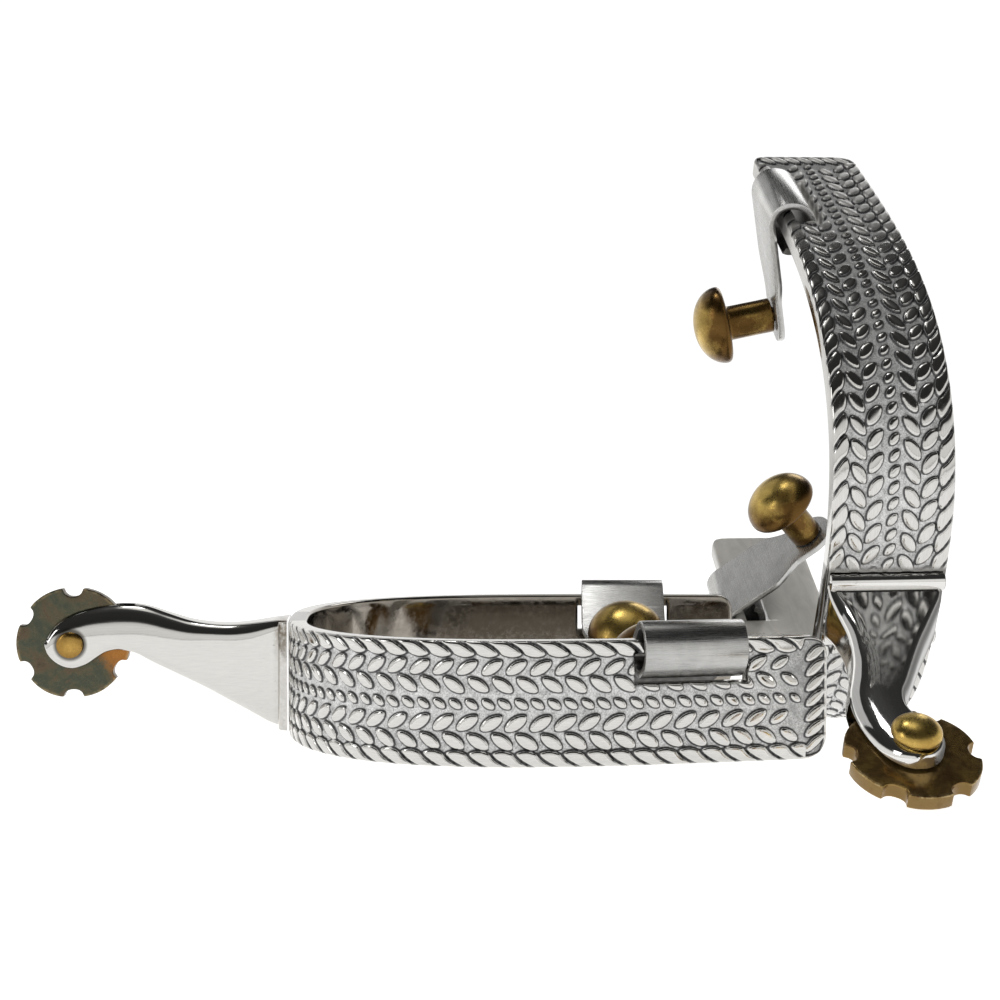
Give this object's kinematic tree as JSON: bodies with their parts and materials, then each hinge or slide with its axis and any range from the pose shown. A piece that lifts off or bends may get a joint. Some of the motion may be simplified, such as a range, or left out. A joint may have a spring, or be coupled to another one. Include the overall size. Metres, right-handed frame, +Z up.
{
  "type": "riding spurs",
  "caption": "Western riding spurs with braided heel bands, curved forked shanks, notched brass rowels on pins and brass buttons on swinging hangers.",
  "frame": {"origin": "centre of the bottom of the pair's bounding box, on the surface that the spurs stand on", "axes": "+X from the lying spur's rowel towards its open end, +Y away from the viewer, +Z up"},
  "size_m": [0.1516, 0.1334, 0.1023],
  "materials": {
    "spur_1_heel_band": "bright braided relief with dark recesses, mirror edges",
    "spur_1_shank": "mirror polished",
    "spur_1_rowel": "brown patina",
    "spur_1_rowel_pin": "polished",
    "spur_1_hanger_near": "brushed",
    "spur_1_hanger_far": "brushed",
    "spur_1_button_near": "antique, darker towards the rim",
    "spur_1_button_far": "antique, darker towards the rim",
    "spur_2_heel_band": "bright braided relief with dark recesses, mirror edges",
    "spur_2_shank": "mirror polished",
    "spur_2_rowel": "brown patina",
    "spur_2_rowel_pin": "polished",
    "spur_2_hanger_near": "brushed",
    "spur_2_hanger_far": "brushed",
    "spur_2_button_near": "antique, darker towards the rim",
    "spur_2_button_far": "antique, darker towards the rim"
  },
  "bodies": {
    "spur_1": {"spur_1_heel_band": "spur_1_heel_band", "spur_1_shank": "spur_1_shank", "spur_1_rowel_pin": "spur_1_rowel_pin"},
    "spur_1_rowel_wheel": {"spur_1_rowel": "spur_1_rowel"},
    "spur_1_swing_near": {"spur_1_hanger_near": "spur_1_hanger_near", "spur_1_button_near": "spur_1_button_near"},
    "spur_1_swing_far": {"spur_1_hanger_far": "spur_1_hanger_far", "spur_1_button_far": "spur_1_button_far"},
    "spur_2": {"spur_2_heel_band": "spur_2_heel_band", "spur_2_shank": "spur_2_shank", "spur_2_rowel_pin": "spur_2_rowel_pin"},
    "spur_2_rowel_wheel": {"spur_2_rowel": "spur_2_rowel"},
    "spur_2_swing_near": {"spur_2_hanger_near": "spur_2_hanger_near", "spur_2_button_near": "spur_2_button_near"},
    "spur_2_swing_far": {"spur_2_hanger_far": "spur_2_hanger_far", "spur_2_button_far": "spur_2_button_far"}
  },
  "joints": [
    {"name": "spur_2_lift", "type": "slide", "parent": "spur_1", "child": "spur_2", "axis": [0, 0, 1], "range_m": [0, 0.1]},
    {"name": "spur_1_rowel_spin", "type": "hinge", "parent": "spur_1", "child": "spur_1_rowel_wheel", "pos_m": [-0.06636, -0.00698, 0.015], "axis": [-0.0939, 0.9956, 0], "continuous": true},
    {"name": "spur_1_hanger_swing_near", "type": "hinge", "parent": "spur_1", "child": "spur_1_swing_near", "pos_m": [0.03506, -0.0341, 0.01798], "axis": [0.9839, 0.1784, 0], "range_deg": [-12, 204]},
    {"name": "spur_1_hanger_swing_far", "type": "hinge", "parent": "spur_1", "child": "spur_1_swing_far", "pos_m": [0.02874, 0.03706, 0.01798], "axis": [-0.9998, 0.0214, 0], "range_deg": [-14, 202]},
    {"name": "spur_2_rowel_spin", "type": "hinge", "parent": "spur_2", "child": "spur_2_rowel_wheel", "pos_m": [0.06311, -0.05801, 0.00544], "axis": [-0.0314, 0.4784, -0.8776], "continuous": true},
    {"name": "spur_2_hanger_swing_near", "type": "hinge", "parent": "spur_2", "child": "spur_2_swing_near", "pos_m": [0.05447, 0.00497, 0.08988], "axis": [-0.0715, 0.8493, 0.5231], "range_deg": [-77, 173]},
    {"name": "spur_2_hanger_swing_far", "type": "hinge", "parent": "spur_2", "child": "spur_2_swing_far", "pos_m": [0.05175, 0.04623, 0.01652], "axis": [0.0729, -0.8695, -0.4885], "range_deg": [-36, 12]}
  ]
}
